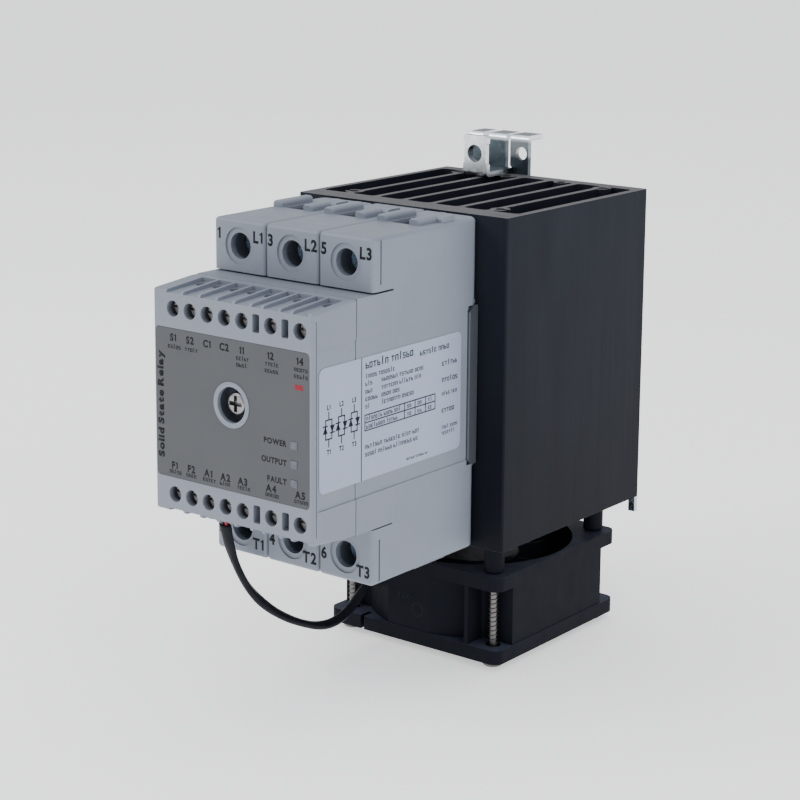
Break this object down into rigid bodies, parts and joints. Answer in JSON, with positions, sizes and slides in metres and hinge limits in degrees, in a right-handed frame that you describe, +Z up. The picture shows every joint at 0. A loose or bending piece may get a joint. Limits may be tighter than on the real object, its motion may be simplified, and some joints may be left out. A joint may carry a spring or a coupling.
{
  "type": "solid state relay",
  "caption": "Three-pole solid state relay: plastic pole housings and a control module on a finned heat sink, with screw terminals, a rail bracket and a fan below.",
  "frame": {"origin": "centre of the plane that the mounting rail seats against, at mid-width and mid-height of the heat sink", "axes": "+Y points back into the rail, +Z up, +X to the right seen from the front"},
  "size_m": [0.0712, 0.1442, 0.1407],
  "materials": {
    "anodised_aluminium": "satin",
    "grey_housing": "satin",
    "grey_clip": "satin",
    "panel_film": "matte",
    "label_film": "satin",
    "light_pipe": "gloss",
    "circuit_board": "satin",
    "component_plastic": "matte",
    "brass": "machined",
    "thermal_pad": "matte",
    "ceramic": "matte",
    "tinned_copper": "tin plated",
    "zinc_steel": "zinc plated",
    "blue_zinc_steel": "blue zinc plated",
    "nickel_steel": "nickel plated",
    "fan_plastic": "satin",
    "magnet": "matte",
    "lead_sleeve": "satin",
    "lead_wire": "gloss",
    "spring_steel": "bright"
  },
  "bodies": {
    "housing": {"heat_sink": "anodised_aluminium", "pole_housing_1": "grey_housing", "pole_housing_2": "grey_housing", "pole_housing_3": "grey_housing", "side_clips": "grey_clip", "control_front_cover": "grey_housing", "control_rear_housing": "grey_housing", "front_panel_overlay": "panel_film", "rating_label": "label_film", "status_light_pipes": "light_pipe", "control_board": "circuit_board", "board_components": "component_plastic", "control_terminal_blocks": "brass", "gate_connectors": "component_plastic", "thermal_pads": "thermal_pad", "power_substrates": "ceramic", "busbars": "tinned_copper", "pole_fixing_screws": "zinc_steel", "fan_frame": "fan_plastic", "fan_bearings": "nickel_steel", "fan_stator": "zinc_steel", "fan_circuit_board": "circuit_board", "fan_screws": "nickel_steel", "fan_spacers": "fan_plastic", "fan_lead": "lead_sleeve", "fan_lead_wires": "lead_wire", "rail_bracket": "blue_zinc_steel", "latch_spring": "spring_steel", "bracket_screws": "zinc_steel"},
    "fan_rotor": {"fan_rotor": "fan_plastic", "fan_magnet_ring": "magnet", "fan_shaft": "nickel_steel"},
    "rail_latch": {"rail_latch": "zinc_steel"},
    "line_screw_1": {"line_screw_1": "blue_zinc_steel"},
    "line_clamp_1": {"line_clamp_1": "zinc_steel"},
    "load_screw_1": {"load_screw_1": "blue_zinc_steel"},
    "load_clamp_1": {"load_clamp_1": "zinc_steel"},
    "line_screw_2": {"line_screw_2": "blue_zinc_steel"},
    "line_clamp_2": {"line_clamp_2": "zinc_steel"},
    "load_screw_2": {"load_screw_2": "blue_zinc_steel"},
    "load_clamp_2": {"load_clamp_2": "zinc_steel"},
    "line_screw_3": {"line_screw_3": "blue_zinc_steel"},
    "line_clamp_3": {"line_clamp_3": "zinc_steel"},
    "load_screw_3": {"load_screw_3": "blue_zinc_steel"},
    "load_clamp_3": {"load_clamp_3": "zinc_steel"},
    "control_screw_1": {"control_screw_1": "nickel_steel"},
    "control_screw_2": {"control_screw_2": "nickel_steel"},
    "control_screw_3": {"control_screw_3": "nickel_steel"},
    "control_screw_4": {"control_screw_4": "nickel_steel"},
    "control_screw_5": {"control_screw_5": "nickel_steel"},
    "control_screw_6": {"control_screw_6": "nickel_steel"},
    "control_screw_7": {"control_screw_7": "nickel_steel"},
    "control_screw_8": {"control_screw_8": "nickel_steel"},
    "control_screw_9": {"control_screw_9": "nickel_steel"},
    "control_screw_10": {"control_screw_10": "nickel_steel"},
    "control_screw_11": {"control_screw_11": "nickel_steel"},
    "control_screw_12": {"control_screw_12": "nickel_steel"},
    "control_screw_13": {"control_screw_13": "nickel_steel"},
    "control_screw_14": {"control_screw_14": "nickel_steel"},
    "module_fixing_screw": {"module_fixing_screw": "nickel_steel"}
  },
  "joints": [
    {"name": "fan_spin", "type": "hinge", "parent": "housing", "child": "fan_rotor", "pos_m": [0, -0.0339, -0.0685], "axis": [0, 0, 1], "continuous": true},
    {"name": "latch_slide", "type": "slide", "parent": "housing", "child": "rail_latch", "axis": [0, 0, -1], "range_m": [0, 0.005], "stiffness_N_per_m": 700, "springref_m": -0.003, "deforming": ["latch_spring"]},
    {"name": "line_screw_1_turn", "type": "hinge", "parent": "housing", "child": "line_screw_1", "pos_m": [-0.0178, -0.1065, 0.03806], "axis": [0, 1, 0], "range_deg": [0, 2700]},
    {"name": "line_clamp_1_lift", "type": "slide", "parent": "housing", "child": "line_clamp_1", "axis": [0, -1, 0], "range_m": [0, 0.006]},
    {"name": "load_screw_1_turn", "type": "hinge", "parent": "housing", "child": "load_screw_1", "pos_m": [-0.0178, -0.1065, -0.03806], "axis": [0, 1, 0], "range_deg": [0, 2700]},
    {"name": "load_clamp_1_lift", "type": "slide", "parent": "housing", "child": "load_clamp_1", "axis": [0, -1, 0], "range_m": [0, 0.006]},
    {"name": "line_screw_2_turn", "type": "hinge", "parent": "housing", "child": "line_screw_2", "pos_m": [0, -0.1065, 0.03806], "axis": [0, 1, 0], "range_deg": [0, 2700]},
    {"name": "line_clamp_2_lift", "type": "slide", "parent": "housing", "child": "line_clamp_2", "axis": [0, -1, 0], "range_m": [0, 0.006]},
    {"name": "load_screw_2_turn", "type": "hinge", "parent": "housing", "child": "load_screw_2", "pos_m": [0, -0.1065, -0.03806], "axis": [0, 1, 0], "range_deg": [0, 2700]},
    {"name": "load_clamp_2_lift", "type": "slide", "parent": "housing", "child": "load_clamp_2", "axis": [0, -1, 0], "range_m": [0, 0.006]},
    {"name": "line_screw_3_turn", "type": "hinge", "parent": "housing", "child": "line_screw_3", "pos_m": [0.0178, -0.1065, 0.03806], "axis": [0, 1, 0], "range_deg": [0, 2700]},
    {"name": "line_clamp_3_lift", "type": "slide", "parent": "housing", "child": "line_clamp_3", "axis": [0, -1, 0], "range_m": [0, 0.006]},
    {"name": "load_screw_3_turn", "type": "hinge", "parent": "housing", "child": "load_screw_3", "pos_m": [0.0178, -0.1065, -0.03806], "axis": [0, 1, 0], "range_deg": [0, 2700]},
    {"name": "load_clamp_3_lift", "type": "slide", "parent": "housing", "child": "load_clamp_3", "axis": [0, -1, 0], "range_m": [0, 0.006]},
    {"name": "control_screw_1_turn", "type": "hinge", "parent": "housing", "child": "control_screw_1", "pos_m": [-0.01977, -0.132, 0.0249], "axis": [0, 1, 0], "range_deg": [0, 1440]},
    {"name": "control_screw_2_turn", "type": "hinge", "parent": "housing", "child": "control_screw_2", "pos_m": [-0.01395, -0.132, 0.0249], "axis": [0, 1, 0], "range_deg": [0, 1440]},
    {"name": "control_screw_3_turn", "type": "hinge", "parent": "housing", "child": "control_screw_3", "pos_m": [-0.00813, -0.132, 0.0249], "axis": [0, 1, 0], "range_deg": [0, 1440]},
    {"name": "control_screw_4_turn", "type": "hinge", "parent": "housing", "child": "control_screw_4", "pos_m": [-0.00231, -0.132, 0.0249], "axis": [0, 1, 0], "range_deg": [0, 1440]},
    {"name": "control_screw_5_turn", "type": "hinge", "parent": "housing", "child": "control_screw_5", "pos_m": [0.00351, -0.132, 0.0249], "axis": [0, 1, 0], "range_deg": [0, 1440]},
    {"name": "control_screw_6_turn", "type": "hinge", "parent": "housing", "child": "control_screw_6", "pos_m": [0.01296, -0.132, 0.0249], "axis": [0, 1, 0], "range_deg": [0, 1440]},
    {"name": "control_screw_7_turn", "type": "hinge", "parent": "housing", "child": "control_screw_7", "pos_m": [0.02241, -0.132, 0.0249], "axis": [0, 1, 0], "range_deg": [0, 1440]},
    {"name": "control_screw_8_turn", "type": "hinge", "parent": "housing", "child": "control_screw_8", "pos_m": [-0.01977, -0.132, -0.0238], "axis": [0, 1, 0], "range_deg": [0, 1440]},
    {"name": "control_screw_9_turn", "type": "hinge", "parent": "housing", "child": "control_screw_9", "pos_m": [-0.01395, -0.132, -0.0238], "axis": [0, 1, 0], "range_deg": [0, 1440]},
    {"name": "control_screw_10_turn", "type": "hinge", "parent": "housing", "child": "control_screw_10", "pos_m": [-0.00813, -0.132, -0.0238], "axis": [0, 1, 0], "range_deg": [0, 1440]},
    {"name": "control_screw_11_turn", "type": "hinge", "parent": "housing", "child": "control_screw_11", "pos_m": [-0.00231, -0.132, -0.0238], "axis": [0, 1, 0], "range_deg": [0, 1440]},
    {"name": "control_screw_12_turn", "type": "hinge", "parent": "housing", "child": "control_screw_12", "pos_m": [0.00351, -0.132, -0.0238], "axis": [0, 1, 0], "range_deg": [0, 1440]},
    {"name": "control_screw_13_turn", "type": "hinge", "parent": "housing", "child": "control_screw_13", "pos_m": [0.01296, -0.132, -0.0238], "axis": [0, 1, 0], "range_deg": [0, 1440]},
    {"name": "control_screw_14_turn", "type": "hinge", "parent": "housing", "child": "control_screw_14", "pos_m": [0.02241, -0.132, -0.0238], "axis": [0, 1, 0], "range_deg": [0, 1440]},
    {"name": "module_screw_turn", "type": "hinge", "parent": "housing", "child": "module_fixing_screw", "pos_m": [0, -0.1305, 0.003], "axis": [0, 1, 0], "range_deg": [-3600, 0]}
  ],
  "couplings": [
    {"joint": "line_screw_1_turn", "follows": "line_clamp_1_lift", "rad_per_m": 7854},
    {"joint": "load_screw_1_turn", "follows": "load_clamp_1_lift", "rad_per_m": 7854},
    {"joint": "line_screw_2_turn", "follows": "line_clamp_2_lift", "rad_per_m": 7854},
    {"joint": "load_screw_2_turn", "follows": "load_clamp_2_lift", "rad_per_m": 7854},
    {"joint": "line_screw_3_turn", "follows": "line_clamp_3_lift", "rad_per_m": 7854},
    {"joint": "load_screw_3_turn", "follows": "load_clamp_3_lift", "rad_per_m": 7854}
  ]
}
